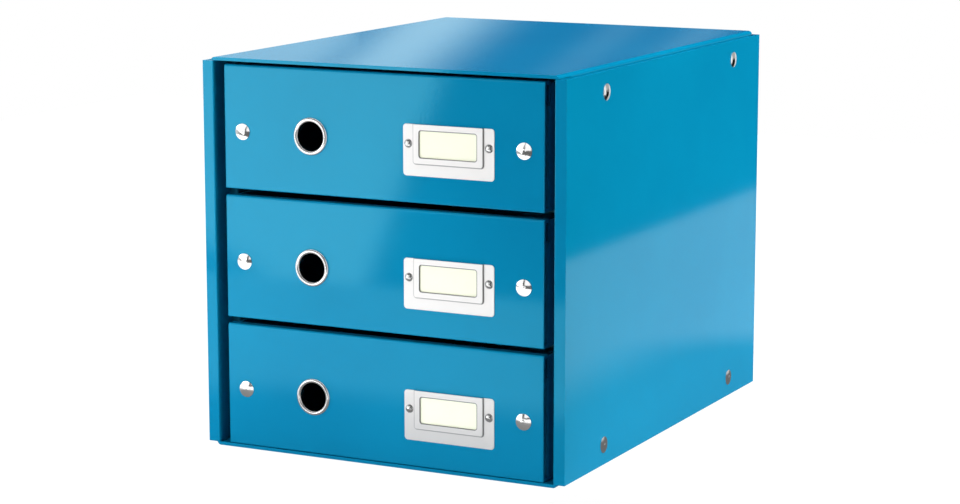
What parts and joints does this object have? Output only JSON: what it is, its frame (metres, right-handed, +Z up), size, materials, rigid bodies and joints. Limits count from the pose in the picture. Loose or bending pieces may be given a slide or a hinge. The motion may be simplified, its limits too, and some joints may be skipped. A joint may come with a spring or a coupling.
{
  "type": "desk drawer unit",
  "caption": "Free-standing desk unit of folded laminated board joined by press studs, with sliding drawers, ringed finger holes and metal label holders.",
  "frame": {"origin": "on the floor under the middle of the unit, at the centre of its footprint", "axes": "+Z up, drawers open towards -Y, +X to the right seen from the front"},
  "size_m": [0.2864, 0.3575, 0.282],
  "materials": {
    "laminated_board": "satin",
    "polished_steel": "polished",
    "satin_nickel": "satin",
    "zinc_plated_steel": "satin",
    "card": "matte"
  },
  "bodies": {
    "case": {"top_panel": "laminated_board", "base_panel": "laminated_board", "left_side_panel": "laminated_board", "right_side_panel": "laminated_board", "back_panel": "laminated_board", "left_inner_wall": "laminated_board", "right_inner_wall": "laminated_board", "lower_shelf": "laminated_board", "upper_shelf": "laminated_board", "left_stud_caps": "polished_steel", "left_stud_sockets": "zinc_plated_steel", "left_stud_posts": "zinc_plated_steel", "right_stud_caps": "polished_steel", "right_stud_sockets": "zinc_plated_steel", "right_stud_posts": "zinc_plated_steel"},
    "lower_drawer": {"lower_drawer_front": "laminated_board", "lower_drawer_bottom": "laminated_board", "lower_drawer_left_wall": "laminated_board", "lower_drawer_right_wall": "laminated_board", "lower_drawer_back_wall": "laminated_board", "lower_drawer_finger_ring": "polished_steel", "lower_drawer_label_holder": "satin_nickel", "lower_drawer_label_rivets": "polished_steel", "lower_drawer_stud_caps": "polished_steel", "lower_drawer_stud_sockets": "zinc_plated_steel", "lower_drawer_stud_posts": "zinc_plated_steel"},
    "lower_label": {"lower_label_card": "card"},
    "middle_drawer": {"middle_drawer_front": "laminated_board", "middle_drawer_bottom": "laminated_board", "middle_drawer_left_wall": "laminated_board", "middle_drawer_right_wall": "laminated_board", "middle_drawer_back_wall": "laminated_board", "middle_drawer_finger_ring": "polished_steel", "middle_drawer_label_holder": "satin_nickel", "middle_drawer_label_rivets": "polished_steel", "middle_drawer_stud_caps": "polished_steel", "middle_drawer_stud_sockets": "zinc_plated_steel", "middle_drawer_stud_posts": "zinc_plated_steel"},
    "middle_label": {"middle_label_card": "card"},
    "upper_drawer": {"upper_drawer_front": "laminated_board", "upper_drawer_bottom": "laminated_board", "upper_drawer_left_wall": "laminated_board", "upper_drawer_right_wall": "laminated_board", "upper_drawer_back_wall": "laminated_board", "upper_drawer_finger_ring": "polished_steel", "upper_drawer_label_holder": "satin_nickel", "upper_drawer_label_rivets": "polished_steel", "upper_drawer_stud_caps": "polished_steel", "upper_drawer_stud_sockets": "zinc_plated_steel", "upper_drawer_stud_posts": "zinc_plated_steel"},
    "upper_label": {"upper_label_card": "card"}
  },
  "joints": [
    {"name": "lower_drawer_slide", "type": "slide", "parent": "case", "child": "lower_drawer", "axis": [0, -1, 0], "range_m": [0, 0.28]},
    {"name": "lower_label_slide", "type": "slide", "parent": "lower_drawer", "child": "lower_label", "axis": [0, 0, 1], "range_m": [0, 0.02]},
    {"name": "middle_drawer_slide", "type": "slide", "parent": "case", "child": "middle_drawer", "axis": [0, -1, 0], "range_m": [0, 0.28]},
    {"name": "middle_label_slide", "type": "slide", "parent": "middle_drawer", "child": "middle_label", "axis": [0, 0, 1], "range_m": [0, 0.02]},
    {"name": "upper_drawer_slide", "type": "slide", "parent": "case", "child": "upper_drawer", "axis": [0, -1, 0], "range_m": [0, 0.28]},
    {"name": "upper_label_slide", "type": "slide", "parent": "upper_drawer", "child": "upper_label", "axis": [0, 0, 1], "range_m": [0, 0.02]}
  ]
}
